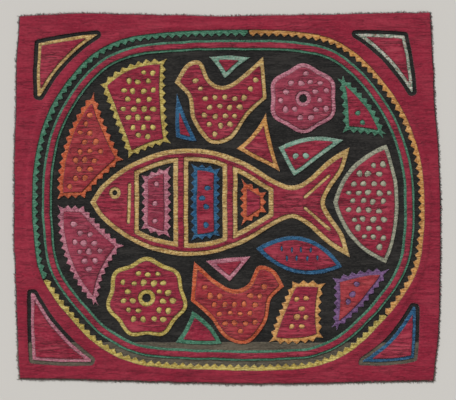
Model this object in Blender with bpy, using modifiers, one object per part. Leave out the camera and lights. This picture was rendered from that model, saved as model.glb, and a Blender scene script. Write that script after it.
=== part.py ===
"""Mola panel: layered cotton cloths, cut away and sewn down by hand, lying flat.

Metres, +Z up, +Y towards the panel's top edge. The origin is at the middle of the underside, on
the surface that the panel lies on. From below there is a ground cloth, pieced from black and
olive, then coloured pieces, and on top the red cloth and red pieces that leave a coloured rim.
"""

import math
from collections import namedtuple

import bmesh
import bpy
from mathutils import Vector

# Driving sizes of the cloths
CLOTH = 0.0010
SEWN_GAP = 0.0003
GROUND_LEVEL = 0.0
COLOUR_LEVEL = GROUND_LEVEL + CLOTH + SEWN_GAP
TOP_LEVEL = COLOUR_LEVEL + CLOTH + SEWN_GAP
OLIVE_SEAM_Y = -0.155
CUTTER_HEIGHT = 0.010

# Driving sizes of the needlework
RIM = 0.0044
FISH_RIM = 0.0050
CORNER_RIM = 0.0036
CORNER_GAP = 0.0040
TOOTH_PITCH = 0.0086
TOOTH_DEPTH = 0.0038
TOOTHED_RIM = 0.0031
TUCK = 0.0040
FULLNESS = 0.0010
CLIMB_START = TUCK + 0.0036
CLIMB_END = TUCK + 0.0018
BAND_FROM = 0.0105
BAND_WIDTH = 0.0110
BAND_RIM = 0.0026

# How finely outlines are followed
FINE_STEP = 0.0022
CHORD = 0.00012
CORNER_TURN = math.radians(30)
LEAST_MITRE = 0.34
LEAST_TOOTH_MITRE = 0.75
BULGE = 4.0
SAFE_SHARE = 0.985
WELD = 0.00001

# The red cloth stops short of the ground cloth's edge by this much at each side
GROUND_SHOWS = {"left": 0.0010, "bottom": 0.0014, "right": 0.0008, "top": 0.0004}
INWARD = {"left": (1, 0), "right": (-1, 0), "bottom": (0, 1), "top": (0, -1)}

Cloth = namedtuple("Cloth", "name red green blue roughness")
Edge = namedtuple("Edge", "side corner bows")
Point = namedtuple("Point", "x y corner")
Patch = namedtuple("Patch", "name cloth toothed corners bows")
Bloom = namedtuple("Bloom", "name cloth centre radius petals dent heart")
Creature = namedtuple("Creature", "name cloth centre size fatness facing")
Slit = namedtuple("Slit", "start end width")
Window = namedtuple("Window", "name cloth left right")
Strip = namedtuple("Strip", "name cloth start end")

CLOTHS = (
    Cloth("red", 0.250, 0.030, 0.052, 0.90),
    Cloth("black", 0.022, 0.022, 0.021, 0.92),
    Cloth("olive", 0.085, 0.075, 0.052, 0.92),
    Cloth("green", 0.050, 0.200, 0.125, 0.90),
    Cloth("mint", 0.190, 0.350, 0.260, 0.90),
    Cloth("gold", 0.480, 0.330, 0.135, 0.90),
    Cloth("yellow", 0.500, 0.380, 0.110, 0.90),
    Cloth("orange", 0.560, 0.130, 0.040, 0.90),
    Cloth("amber", 0.480, 0.210, 0.060, 0.90),
    Cloth("pink", 0.450, 0.125, 0.165, 0.90),
    Cloth("purple", 0.150, 0.075, 0.190, 0.90),
    Cloth("blue", 0.020, 0.085, 0.190, 0.90),
    Cloth("sage", 0.330, 0.330, 0.240, 0.90),
)

# The panel's edges in turn, counter-clockwise: the corner each starts from, and how far the edge
# bows outwards at each eighth of its length
EDGES = (
    Edge("left", (-0.2245, 0.1971), (0.0031, 0.0040, 0.0053, 0.0056, 0.0056, 0.0035, 0.0022)),
    Edge("bottom", (-0.2249, -0.1949), (0.0003, 0.0016, 0.0028, 0.0038, 0.0040, 0.0027, 0.0008)),
    Edge("right", (0.2228, -0.1971), (0.0056, 0.0076, 0.0087, 0.0088, 0.0071, 0.0037, 0.0020)),
    Edge("top", (0.2195, 0.2009), (-0.0001, -0.0013, -0.0013, -0.0019, -0.0003, 0.0013, 0.0025)),
)

# The window cut in the red cloth, counter-clockwise from the middle of its right side
WINDOW = (
    Point(0.2123, -0.0030, False),
    Point(0.2105, 0.0290, False),
    Point(0.2035, 0.0600, False),
    Point(0.1900, 0.0935, False),
    Point(0.1695, 0.1250, False),
    Point(0.1440, 0.1525, False),
    Point(0.1120, 0.1722, False),
    Point(0.0720, 0.1800, False),
    Point(0.0250, 0.1815, False),
    Point(-0.0250, 0.1812, False),
    Point(-0.0700, 0.1788, False),
    Point(-0.1090, 0.1728, False),
    Point(-0.1400, 0.1592, False),
    Point(-0.1660, 0.1350, False),
    Point(-0.1870, 0.1045, False),
    Point(-0.2010, 0.0720, False),
    Point(-0.2085, 0.0340, False),
    Point(-0.2103, -0.0020, False),
    Point(-0.2090, -0.0380, False),
    Point(-0.2040, -0.0730, False),
    Point(-0.1910, -0.1010, False),
    Point(-0.1690, -0.1293, False),
    Point(-0.1420, -0.1563, False),
    Point(-0.1060, -0.1762, False),
    Point(-0.0640, -0.1826, False),
    Point(0.0000, -0.1852, False),
    Point(0.0560, -0.1850, False),
    Point(0.1000, -0.1798, False),
    Point(0.1370, -0.1616, False),
    Point(0.1690, -0.1310, False),
    Point(0.1935, -0.0995, False),
    Point(0.2075, -0.0690, False),
    Point(0.2120, -0.0350, False),
)

# Toothed strips under the window's edge, as shares of the way round it
STRIPS = (
    Strip("rim_amber", "amber", -0.1025, 0.2320),
    Strip("rim_green", "green", 0.2332, 0.5670),
    Strip("rim_yellow", "yellow", 0.5682, 0.8963),
)

# Small windows in the corners of the red cloth, each with a piece of the same form in it. A bow is
# how far a side swells outwards, from each corner to the next
CORNERS = (
    Patch(
        "corner_gold", "gold", False,
        ((-0.2070, 0.1705), (-0.2085, 0.1080), (-0.1990, 0.1055),
         (-0.1365, 0.1738), (-0.1380, 0.1810)),
        (0.0015, 0.0010, -0.0070, 0.0010, 0.0020),
    ),
    Patch(
        "corner_mint", "mint", False,
        ((0.1945, 0.1790), (0.1355, 0.1812), (0.1345, 0.1748), (0.1960, 0.1105), (0.2045, 0.1130)),
        (0.0010, 0.0008, -0.0060, 0.0008, 0.0015),
    ),
    Patch(
        "corner_pink", "pink", False,
        ((-0.2135, -0.1775), (-0.1450, -0.1800), (-0.1425, -0.1720),
         (-0.2055, -0.0985), (-0.2155, -0.0985)),
        (0.0015, 0.0008, -0.0060, 0.0008, 0.0010),
    ),
    Patch(
        "corner_blue", "blue", False,
        ((0.2050, -0.1750), (0.2065, -0.1140), (0.1975, -0.1125),
         (0.1435, -0.1715), (0.1415, -0.1795)),
        (0.0015, 0.0008, -0.0060, 0.0008, 0.0025),
    ),
)

# Half of a fish's outline, from its nose, as shares of its length: how far along, and half its
# height
FISH_HALF = (
    Point(0.000, 0.000, True),
    Point(0.045, 0.058, False),
    Point(0.130, 0.118, False),
    Point(0.240, 0.165, False),
    Point(0.360, 0.185, False),
    Point(0.480, 0.176, False),
    Point(0.600, 0.137, False),
    Point(0.700, 0.084, False),
    Point(0.775, 0.056, False),
    Point(0.840, 0.082, False),
    Point(0.920, 0.146, False),
    Point(1.000, 0.190, True),
    Point(0.975, 0.112, False),
    Point(0.925, 0.044, False),
    Point(0.905, 0.000, False),
)

# A bird that faces -X, counter-clockwise from its beak, in its own length
BIRD = (
    Point(-0.50, 0.17, True),
    Point(-0.36, 0.04, False),
    Point(-0.31, -0.18, False),
    Point(-0.12, -0.40, False),
    Point(0.12, -0.36, False),
    Point(0.30, -0.14, False),
    Point(0.50, 0.02, True),
    Point(0.46, 0.42, True),
    Point(0.24, 0.24, False),
    Point(0.04, 0.14, False),
    Point(-0.12, 0.20, False),
    Point(-0.22, 0.37, False),
    Point(-0.38, 0.34, False),
)

BIG_FISH = Creature("fish", "gold", (-0.0080, -0.0040), 0.280, 1.12, -1)
FISH_WINDOWS = (
    Window("scale_front", "pink", -0.095, -0.058),
    Window("scale_middle", "blue", -0.042, -0.005),
    Window("scale_rear", "orange", 0.011, 0.045),
)
WINDOW_EDGE = 0.0140
PATCH_GAP = 0.0026
EYE_PLACE = (-0.1210, 0.0060)
EYE_RADIUS = 0.0064
PUPIL_RADIUS = 0.0028
FISH_SLITS = (
    Slit((-0.1065, -0.0260), (-0.1050, 0.0150), 0.0036),
    Slit((0.0840, 0.0020), (0.1100, 0.0250), 0.0036),
    Slit((0.0840, -0.0100), (0.1100, -0.0330), 0.0036),
)

# Pieces with pointed corners that fill the field, counter-clockwise, with bows like the corners'
PATCHES = (
    Patch(
        "wedge_orange", "orange", True,
        ((-0.1820, 0.0000), (-0.1540, 0.0015), (-0.1130, 0.0420), (-0.1430, 0.1160)),
        (0.0000, -0.0015, -0.0030, 0.0125),
    ),
    Patch(
        "wedge_yellow", "yellow", True,
        ((-0.1060, 0.0440), (-0.0620, 0.0600), (-0.0660, 0.1500), (-0.1360, 0.1230)),
        (-0.0020, -0.0030, 0.0085, 0.0000),
    ),
    Patch(
        "boat_mint", "mint", False,
        ((0.0550, 0.0550), (0.0720, 0.0240), (0.1250, 0.0630)),
        (0.0000, 0.0000, 0.0070),
    ),
    Patch(
        "wedge_green", "green", True,
        ((0.1255, 0.0720), (0.1725, 0.0645), (0.1185, 0.1350)),
        (-0.0020, 0.0080, -0.0020),
    ),
    Patch(
        "leaf_sage", "sage", False,
        ((0.1140, -0.0040), (0.1715, -0.0700), (0.1715, 0.0580)),
        (0.0110, 0.0135, 0.0110),
    ),
    Patch(
        "wedge_pink", "pink", True,
        ((-0.1820, -0.0080), (-0.1400, -0.1185), (-0.1125, -0.0510), (-0.1550, -0.0090)),
        (0.0135, -0.0070, -0.0015, 0.0000),
    ),
    Patch(
        "leaf_blue", "blue", False,
        ((0.0310, -0.0540), (0.1240, -0.0740)),
        (0.0165, 0.0230),
    ),
    Patch(
        "wedge_amber", "amber", True,
        ((0.0705, -0.0900), (0.0455, -0.1550), (0.1030, -0.1495), (0.1055, -0.0915)),
        (0.0020, 0.0040, -0.0040, 0.0020),
    ),
    Patch(
        "wedge_purple", "purple", True,
        ((0.1150, -0.0865), (0.1125, -0.1450), (0.1750, -0.0760)),
        (-0.0020, 0.0055, 0.0030),
    ),
    Patch(
        "seed_mint", "mint", False,
        ((-0.0195, 0.1530), (-0.0030, 0.1295), (0.0250, 0.1525)),
        (-0.0010, -0.0010, 0.0010),
    ),
    Patch(
        "seed_pink", "pink", False,
        ((-0.0230, -0.0680), (0.0030, -0.0895), (0.0250, -0.0625)),
        (0.0000, 0.0000, 0.0010),
    ),
    Patch(
        "seed_amber", "amber", False,
        ((0.0100, 0.0535), (0.0570, 0.0290), (0.0420, 0.0920)),
        (0.0000, -0.0020, -0.0030),
    ),
    Patch(
        "seed_blue", "blue", False,
        ((-0.0555, 0.0660), (-0.0330, 0.0620), (-0.0540, 0.1130)),
        (0.0010, -0.0010, 0.0010),
    ),
    Patch(
        "boat_green", "green", False,
        ((-0.0560, -0.1555), (-0.0060, -0.1565), (-0.0380, -0.1215)),
        (0.0015, 0.0040, -0.0020),
    ),
)

BLOOMS = (
    Bloom("bloom_pink", "pink", (0.0820, 0.1080), 0.0380, 6, 0.10, 0.0085),
    Bloom("bloom_yellow", "yellow", (-0.0870, -0.1070), 0.0445, 7, 0.10, 0.0095),
)

BIRDS = (
    Creature("bird_gold", "gold", (-0.0070, 0.1055), 0.099, 1.15, -1),
    Creature("bird_orange", "orange", (0.0110, -0.1130), 0.101, 1.06, 1),
)


def clear_scene():
    """Removes what the file opened with."""
    for thing in list(bpy.data.objects):
        bpy.data.objects.remove(thing)


def dyed(cloth_name):
    """The Principled material of one dyed cotton."""
    name = f"cotton_{cloth_name}"
    if name in bpy.data.materials:
        return bpy.data.materials[name]
    cloth = next(row for row in CLOTHS if row.name == cloth_name)
    material = bpy.data.materials.new(name)
    material.use_nodes = True
    shader = material.node_tree.nodes["Principled BSDF"]
    shader.inputs["Base Color"].default_value = (cloth.red, cloth.green, cloth.blue, 1.0)
    shader.inputs["Roughness"].default_value = cloth.roughness
    shader.inputs["Metallic"].default_value = 0.0
    return material


# Outlines are lists of 2D points, counter-clockwise


def curve_between(before, start, end, after, share):
    """A point on the smooth curve from start to end."""
    square, cube = share * share, share * share * share
    return 0.5 * (
        2 * start
        + (end - before) * share
        + (2 * before - 5 * start + 4 * end - after) * square
        + (3 * start - before - 3 * end + after) * cube
    )


def smooth_outline(points):
    """A fine closed outline through the points, sharp only at its corners."""
    places = [Vector((p.x, p.y)) for p in points]
    count = len(places)
    outline = []
    for i, point in enumerate(points):
        start, end = places[i], places[(i + 1) % count]
        before = start if point.corner else places[i - 1]
        after = end if points[(i + 1) % count].corner else places[(i + 2) % count]
        steps = max(2, math.ceil((end - start).length / FINE_STEP))
        for k in range(steps):
            outline.append(curve_between(before, start, end, after, k / steps))
    return outline


def gap_between(start, end, point):
    """The distance from a point to the nearest place on a straight line from start to end."""
    run = end - start
    if run.length == 0:
        return (point - start).length
    share = (point - start).dot(run) / run.length_squared
    return (start + run * min(1.0, max(0.0, share)) - point).length


def gap_to(outline, point):
    """The distance from a point to the nearest place on an outline."""
    return min(gap_between(outline[i - 1], end, point) for i, end in enumerate(outline))


def moved_in(outline, distance):
    """The outline moved inwards by a distance, or outwards by a negative one, with sharp corners."""
    moved = []
    for i, point in enumerate(outline):
        before = (point - outline[i - 1]).normalized()
        after = (outline[(i + 1) % len(outline)] - point).normalized()
        inward = Vector((-before.y - after.y, before.x + after.x)).normalized()
        mitre = max(LEAST_MITRE, inward.dot(Vector((-before.y, before.x))))
        moved.append(point + inward * (distance / mitre))
    return [point for point in moved if gap_to(outline, point) > SAFE_SHARE * abs(distance)]


def stretches(outline):
    """The outline cut at its corners into open runs of points, or one closed run if it has none."""
    count = len(outline)
    corners = []
    for i, point in enumerate(outline):
        before = point - outline[i - 1]
        after = outline[(i + 1) % count] - point
        if before.angle(after, 0.0) > CORNER_TURN:
            corners.append(i)
    if not corners:
        return [outline + outline[:1]]
    ends = corners[1:] + [corners[0] + count]
    return [[outline[k % count] for k in range(i, j + 1)] for i, j in zip(corners, ends)]


def length_of(run):
    """The length of an open run of points."""
    return sum((b - a).length for a, b in zip(run, run[1:]))


def along(run, share):
    """The point at a share of a run's length, and the direction to its right, which is outwards."""
    left = share * length_of(run)
    for a, b in zip(run, run[1:]):
        step = (b - a).length
        if left <= step and step > 0:
            break
        left -= step
    way = (b - a).normalized()
    return a + way * min(left, step), Vector((way.y, -way.x))


def thinned(run):
    """The start of an open run, and those of its points that a straight line would miss."""
    gaps = [gap_between(run[0], run[-1], point) for point in run[1:-1]]
    if not gaps or max(gaps) < CHORD:
        return [run[0]]
    split = gaps.index(max(gaps)) + 1
    return thinned(run[: split + 1]) + thinned(run[split:])


def sparse(outline):
    """The outline with only the points that its form needs, and its corners."""
    return [point for run in stretches(outline) for point in thinned(run)]


def toothed(outline):
    """The outline with triangular teeth that stand outwards, one of them on each corner."""
    made = []
    runs = stretches(outline)
    for i, run in enumerate(runs):
        teeth = max(1, round(length_of(run) / TOOTH_PITCH))
        for k in range(teeth):
            tip, outward = along(run, k / teeth)
            reach = TOOTH_DEPTH
            if k == 0 and len(runs) > 1:
                last = runs[i - 1]
                way = (run[1] - run[0]).normalized() + (last[-1] - last[-2]).normalized()
                bisector = Vector((way.y, -way.x)).normalized()
                reach = TOOTH_DEPTH / max(LEAST_TOOTH_MITRE, bisector.dot(outward))
                outward = bisector
            valley = along(run, (k + 0.5) / teeth)[0]
            made += [tip + outward * reach, valley]
    return made


# Motifs


def panel_outline(show=None):
    """The panel's edge, drawn in at each side by how much of the ground cloth shows there."""
    show = show or dict.fromkeys(GROUND_SHOWS, 0.0)
    corners = []
    for i, edge in enumerate(EDGES):
        sides = (edge.side, EDGES[i - 1].side)
        shift = sum((Vector(INWARD[side]) * show[side] for side in sides), Vector((0.0, 0.0)))
        corners.append(Vector(edge.corner) + shift)
    outline = []
    for i, edge in enumerate(EDGES):
        start, end = corners[i], corners[(i + 1) % len(EDGES)]
        way = (end - start).normalized()
        outward = Vector((way.y, -way.x))
        bows = (0.0, *edge.bows, 0.0)
        parts = len(bows) - 1
        places = [start.lerp(end, k / parts) + outward * bows[k] for k in range(parts + 1)]
        for k in range(parts):
            before = places[max(0, k - 1)]
            after = places[min(parts, k + 2)]
            outline += [
                curve_between(before, places[k], places[k + 1], after, share)
                for share in (0.0, 1 / 3, 2 / 3)
            ]
    return outline


def centre_of(outline):
    """The middle of the box round an outline."""
    xs, ys = [p.x for p in outline], [p.y for p in outline]
    return Vector((min(xs) + max(xs), min(ys) + max(ys))) / 2


def cut_across(outline, level, above):
    """The part of an outline above or below a level in Y."""
    kept = []
    for i, end in enumerate(outline):
        start = outline[i - 1]
        start_in, end_in = (start.y > level) == above, (end.y > level) == above
        if start_in != end_in:
            kept.append(start.lerp(end, (level - start.y) / (end.y - start.y)))
        if end_in:
            kept.append(end)
    return kept


def patch_outline(patch):
    """A piece whose sides swell outwards or sink inwards between pointed corners."""
    outline = []
    count = len(patch.corners)
    for i, bow in enumerate(patch.bows):
        start, end = Vector(patch.corners[i]), Vector(patch.corners[(i + 1) % count])
        way = (end - start).normalized()
        outward = Vector((way.y, -way.x))
        steps = math.ceil((end - start).length / FINE_STEP)
        for k in range(steps):
            share = k / steps
            outline.append(start.lerp(end, share) + outward * (BULGE * bow * share * (1 - share)))
    return outline


def bloom_outline(bloom):
    """A round flower with soft petals."""
    steps = math.ceil(math.tau * bloom.radius / FINE_STEP)
    outline = []
    for k in range(steps):
        turn = math.tau * k / steps
        dip = 0.5 * bloom.dent * (1 - math.cos(bloom.petals * turn))
        reach = bloom.radius * (1 - dip)
        outline.append(Vector(bloom.centre) + reach * Vector((-math.sin(turn), math.cos(turn))))
    return outline


def placed(points, creature):
    """A creature's own points at its size and place. Facing -1 keeps -X and 1 turns it to +X."""
    side = -creature.facing
    x, y = creature.centre
    wide, high = side * creature.size, creature.size * creature.fatness
    rows = [Point(x + wide * p.x, y + high * p.y, p.corner) for p in points]
    return smooth_outline(rows if side > 0 else rows[::-1])


def fish_outline(creature):
    """A fish whose nose is at one end of its length and whose forked tail is at the other."""
    lower = [Point(p.x - 0.5, -p.y, p.corner) for p in FISH_HALF]
    upper = [Point(p.x - 0.5, p.y, p.corner) for p in FISH_HALF[-2:0:-1]]
    return placed(lower + upper, creature)


def round_hole(centre, radius, sides=12):
    """A round outline."""
    turns = [math.tau * k / sides for k in range(sides)]
    return [Vector(centre) + radius * Vector((math.cos(t), math.sin(t))) for t in turns]


def slit_hole(slit):
    """A narrow outline with round ends."""
    start, end = Vector(slit.start), Vector(slit.end)
    way = (end - start).normalized()
    right = Vector((way.y, -way.x))
    half = slit.width / 2
    outline = []
    for centre, heading in ((end, 0.0), (start, math.pi)):
        for k in range(5):
            turn = heading + math.pi * k / 4
            outline.append(centre + half * (right * math.cos(turn) + way * math.sin(turn)))
    return outline


def cut_beside(outline, level, beyond):
    """The part of an outline beyond or before a level in X."""
    turned = [Vector((p.y, p.x)) for p in outline]
    return [Vector((p.y, p.x)) for p in cut_across(turned, level, beyond)]


def fish_window(body, window):
    """The opening between two uprights, set in from a fish's outline."""
    inner = moved_in(body, WINDOW_EDGE)
    return cut_beside(cut_beside(inner, window.right, False), window.left, True)


def stretch_of(outline, strip):
    """The run of a closed outline that a strip follows."""
    loop = outline + outline[:1]
    span = strip.end - strip.start
    steps = math.ceil(span * length_of(loop) / FINE_STEP)
    return [along(loop, (strip.start + span * k / steps) % 1.0)[0] for k in range(steps + 1)]


def strip_outline(window, strip):
    """A strip tucked under the window's edge, with its teeth towards the middle of the window."""
    hidden = stretch_of(moved_in(window, -TUCK), strip)
    shown = stretch_of(moved_in(window, TOOTHED_RIM), strip)
    teeth = round(length_of(shown) / TOOTH_PITCH)
    edge = []
    for k in range(teeth):
        tip, outward = along(shown, (k + 0.5) / teeth)
        edge += [along(shown, k / teeth)[0], tip - outward * TOOTH_DEPTH]
    return thinned(hidden) + hidden[-1:] + shown[-1:] + edge[::-1]


# Solids


def plate(name, outlines, level, cloth_name, collection, height=CLOTH):
    """A flat piece of cloth of one outline, with holes for the other outlines."""
    curve = bpy.data.curves.new(name, "CURVE")
    curve.dimensions = "2D"
    curve.fill_mode = "BOTH"
    curve.extrude = height / 2
    for outline in outlines:
        spline = curve.splines.new("POLY")
        spline.points.add(len(outline) - 1)
        spline.use_cyclic_u = True
        for place, point in zip(spline.points, outline):
            place.co = (point.x, point.y, 0.0, 1.0)
    curve.materials.append(dyed(cloth_name))
    piece = bpy.data.objects.new(name, curve)
    piece.location.z = level + CLOTH / 2
    collection.objects.link(piece)
    return piece


def coloured_pair(piece, outline, is_toothed, rim, heart, collection):
    """A coloured piece and the red piece sewn on it, which leaves the rim of the colour showing.

    A piece with a heart has a round opening there, red's wider than the colour's.
    """
    if is_toothed:
        body = moved_in(outline, TOOTH_DEPTH)
        under = toothed(body)
        over = moved_in(body, TOOTHED_RIM)
    else:
        under = sparse(outline)
        over = moved_in(outline, rim)
    under_holes = [round_hole(heart.centre, heart.heart / 2)] if heart else []
    over_holes = [round_hole(heart.centre, heart.heart)] if heart else []
    colour, red = f"{piece.name}_colour", f"{piece.name}_red"
    plate(colour, [under, *under_holes], COLOUR_LEVEL, piece.cloth, collection)
    plate(red, [sparse(over), *over_holes], TOP_LEVEL, "red", collection)


def ground_cloths(shift, collection):
    """The ground cloth: black, with an olive piece sewn to its lower edge."""
    edge = [p - shift for p in panel_outline()]
    black = cut_across(edge, OLIVE_SEAM_Y + SEWN_GAP / 2, True)
    olive = cut_across(edge, OLIVE_SEAM_Y - SEWN_GAP / 2, False)
    plate("ground_black", [black], GROUND_LEVEL, "black", collection)
    plate("ground_olive", [olive], GROUND_LEVEL, "olive", collection)


def ray_hit(outline, way):
    """Where a ray from the origin meets an outline that goes once round it."""
    for i, end in enumerate(outline):
        start = outline[i - 1]
        run = end - start
        cross = way.x * run.y - way.y * run.x
        if abs(cross) < 1e-12:
            continue
        reach = (start.x * run.y - start.y * run.x) / cross
        share = (start.x * way.y - start.y * way.x) / cross
        if reach > 0 and -1e-9 <= share <= 1 + 1e-9:
            return way * reach
    raise ValueError("the outline doesn't go round the origin")


def meshed(piece):
    """The mesh of a curve object, with its caps welded on. The curve is removed."""
    bpy.context.view_layer.update()
    evaluated = piece.evaluated_get(bpy.context.evaluated_depsgraph_get())
    mesh = bpy.data.meshes.new_from_object(evaluated)
    shape = bmesh.new()
    shape.from_mesh(mesh)
    bmesh.ops.remove_doubles(shape, verts=shape.verts, dist=WELD)
    shape.to_mesh(mesh)
    shape.free()
    solid = bpy.data.objects.new(f"{piece.name}_solid", mesh)
    solid.matrix_world = piece.matrix_world
    bpy.data.objects.remove(piece)
    return solid


def cut_corner_windows(margin):
    """Cuts the corner windows out of the red cloth."""
    cutters = bpy.data.collections.new("cutters")
    bpy.context.scene.collection.children.link(cutters)
    for corner in CORNERS:
        outline = sparse(patch_outline(corner))
        flat = plate(f"cutter_{corner.name}", [outline], COLOUR_LEVEL, "red", cutters, CUTTER_HEIGHT)
        cutter = meshed(flat)
        cutter.hide_render = True
        cutter.display_type = "WIRE"
        cutters.objects.link(cutter)
    windows = margin.modifiers.new("corner_windows", "BOOLEAN")
    windows.operation = "DIFFERENCE"
    windows.solver = "EXACT"
    windows.operand_type = "COLLECTION"
    windows.collection = cutters


def margin_cloth(shift, window, collection):
    """The red cloth round the window: it lies on the ground cloth and climbs over the strips."""
    edge = [p - shift for p in panel_outline(GROUND_SHOWS)]
    start, end = moved_in(window, -CLIMB_START), moved_in(window, -CLIMB_END)
    rings = (
        (edge, COLOUR_LEVEL),
        (start, COLOUR_LEVEL),
        (end, TOP_LEVEL),
        (window, TOP_LEVEL),
    )
    places, faces = [], []
    count = len(edge)
    for outline, level in rings:
        for point in edge:
            hit = point if outline is edge else ray_hit(outline, point.normalized())
            places.append((hit.x, hit.y, level))
    for ring in range(len(rings) - 1):
        for i in range(count):
            after = (i + 1) % count
            first, second = ring * count, (ring + 1) * count
            faces.append((first + i, first + after, second + after, second + i))
    mesh = bpy.data.meshes.new("margin_red")
    mesh.from_pydata(places, [], faces)
    mesh.materials.append(dyed("red"))
    margin = bpy.data.objects.new("margin_red", mesh)
    collection.objects.link(margin)
    thickness = margin.modifiers.new("thickness", "SOLIDIFY")
    thickness.thickness = CLOTH
    thickness.offset = 1.0
    cut_corner_windows(margin)


def border(window, collection):
    """The toothed strips under the window's edge, and the closed band inside them."""
    for strip in STRIPS:
        plate(strip.name, [strip_outline(window, strip)], COLOUR_LEVEL, strip.cloth, collection)
    for name, level, cloth, rim in (
        ("band_green", COLOUR_LEVEL, "green", 0.0),
        ("band_red", TOP_LEVEL, "red", BAND_RIM),
    ):
        outer = sparse(moved_in(window, BAND_FROM + rim))
        inner = sparse(moved_in(window, BAND_FROM + BAND_WIDTH - rim))
        plate(name, [outer, inner], level, cloth, collection)


def big_fish(collection):
    """The large fish, its eye, slits and windows, and the toothed patches in the windows."""
    body = fish_outline(BIG_FISH)
    colour_holes = [round_hole(EYE_PLACE, PUPIL_RADIUS)]
    red_holes = [round_hole(EYE_PLACE, EYE_RADIUS)]
    red_holes += [slit_hole(slit) for slit in FISH_SLITS]
    for window in FISH_WINDOWS:
        opening = fish_window(body, window)
        colour_holes.append(sparse(opening))
        red_holes.append(sparse(moved_in(opening, -FISH_RIM)))
        patch = moved_in(opening, PATCH_GAP)
        coloured_pair(window, patch, True, RIM, None, collection)
    colour = [sparse(body), *colour_holes]
    red = [sparse(moved_in(body, FISH_RIM)), *red_holes]
    plate("fish_colour", colour, COLOUR_LEVEL, BIG_FISH.cloth, collection)
    plate("fish_red", red, TOP_LEVEL, "red", collection)


def motifs(collection):
    """The pieces round the large fish and in the corner windows."""
    for patch in PATCHES:
        outline = patch_outline(patch)
        if patch.toothed:
            outline = moved_in(outline, -FULLNESS)
        coloured_pair(patch, outline, patch.toothed, RIM, None, collection)
    for corner in CORNERS:
        outline = moved_in(patch_outline(corner), CORNER_GAP)
        coloured_pair(corner, outline, corner.toothed, CORNER_RIM, None, collection)
    for bloom in BLOOMS:
        coloured_pair(bloom, bloom_outline(bloom), False, RIM, bloom, collection)
    for bird in BIRDS:
        coloured_pair(bird, placed(BIRD, bird), False, RIM, None, collection)


def main():
    """Builds the panel."""
    clear_scene()
    collection = bpy.data.collections.new("mola_panel")
    bpy.context.scene.collection.children.link(collection)
    shift = centre_of(panel_outline())
    window = smooth_outline(WINDOW)
    ground_cloths(shift, collection)
    margin_cloth(shift, window, collection)
    border(window, collection)
    big_fish(collection)
    motifs(collection)


main()
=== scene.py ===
import logging
import math
from dataclasses import dataclass, field
from enum import Enum
from functools import cache, cached_property

import bpy
import numpy as np
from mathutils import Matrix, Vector
from mathutils.geometry import delaunay_2d_cdt
from mathutils.kdtree import KDTree


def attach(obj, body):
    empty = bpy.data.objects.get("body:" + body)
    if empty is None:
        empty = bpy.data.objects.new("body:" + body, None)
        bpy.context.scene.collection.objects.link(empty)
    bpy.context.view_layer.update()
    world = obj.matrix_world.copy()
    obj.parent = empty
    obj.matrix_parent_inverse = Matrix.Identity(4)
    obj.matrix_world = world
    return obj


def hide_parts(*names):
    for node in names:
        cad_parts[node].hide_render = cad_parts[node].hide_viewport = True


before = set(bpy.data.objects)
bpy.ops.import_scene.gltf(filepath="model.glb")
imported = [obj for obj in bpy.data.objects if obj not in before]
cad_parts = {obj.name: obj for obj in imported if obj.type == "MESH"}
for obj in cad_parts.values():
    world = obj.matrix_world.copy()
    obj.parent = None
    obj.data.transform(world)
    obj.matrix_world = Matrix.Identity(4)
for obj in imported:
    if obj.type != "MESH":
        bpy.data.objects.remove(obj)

MM = 0.001
LOG = logging.getLogger("mola_panel")
Points = np.ndarray
Faces = list[tuple[int, ...]]
Tree = bpy.types.NodeTree
Node = bpy.types.Node
Socket = bpy.types.NodeSocket

CLOTH = 1.0
SEWN_GAP = 0.3
TINY = 1e-9
WELD = 0.001
SAME_PLACE = 0.05
UPWARD = 0.5


class Layer(Enum):
    """How deep in the panel a cloth lies, as the height of its upper side."""

    GROUND = CLOTH
    COLOUR = 2 * CLOTH + SEWN_GAP
    TOP = 3 * CLOTH + 2 * SEWN_GAP


class Marks(Enum):
    """What is cut through a red cloth, inside its outline."""

    NONE = "none"
    DOTS = "dots"
    SLITS = "slits"


# Small geometry, all on arrays of points in millimetres.


def left_of(directions: Points) -> Points:
    """Returns each direction turned a quarter turn to the left."""
    return np.stack([-directions[:, 1], directions[:, 0]], 1)


def unit(vectors: Points) -> Points:
    """Returns each vector at length one."""
    return vectors / np.maximum(np.linalg.norm(vectors, axis=-1, keepdims=True), TINY)


def inward(loop: Points) -> Points:
    """Returns the direction into the cloth, on the left, at each point of a closed edge."""
    return left_of(unit(np.roll(loop, -1, 0) - np.roll(loop, 1, 0)))


def area_of(loop: Points) -> float:
    """Returns the signed area inside a closed edge, positive when it runs anticlockwise."""
    following = np.roll(loop, -1, 0)
    return float(np.sum(loop[:, 0] * following[:, 1] - following[:, 0] * loop[:, 1]) / 2)


def length_of(loop: Points) -> float:
    """Returns the length of a closed edge."""
    return float(np.sum(np.linalg.norm(np.roll(loop, -1, 0) - loop, axis=1)))


def inside(points: Points, loops: list[Points]) -> Points:
    """Tells which points lie in the cloth between closed edges.

    Args:
        points: The points asked about.
        loops: The cloth's outline and holes.

    Returns:
        True for each point in the cloth.
    """
    order = np.argsort(points[:, 1])
    rows = points[order, 1]
    places = points[order, 0]
    odd = np.zeros(len(points), bool)
    for loop in loops:
        for (x0, y0), (x1, y1) in zip(loop, np.roll(loop, -1, 0)):
            first, last = np.searchsorted(rows, (min(y0, y1), max(y0, y1)))
            if first < last:
                crossing = x0 + (rows[first:last] - y0) * (x1 - x0) / (y1 - y0)
                odd[first:last] ^= places[first:last] < crossing
    result = np.empty_like(odd)
    result[order] = odd
    return result


def tree_of(places: Points) -> KDTree:
    """Sorts places into a tree that finds the nearest of them.

    Args:
        places: The places.

    Returns:
        The tree.
    """
    tree = KDTree(len(places))
    for index, (x, y) in enumerate(places.tolist()):
        tree.insert((x, y, 0.0), index)
    tree.balance()
    return tree


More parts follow.
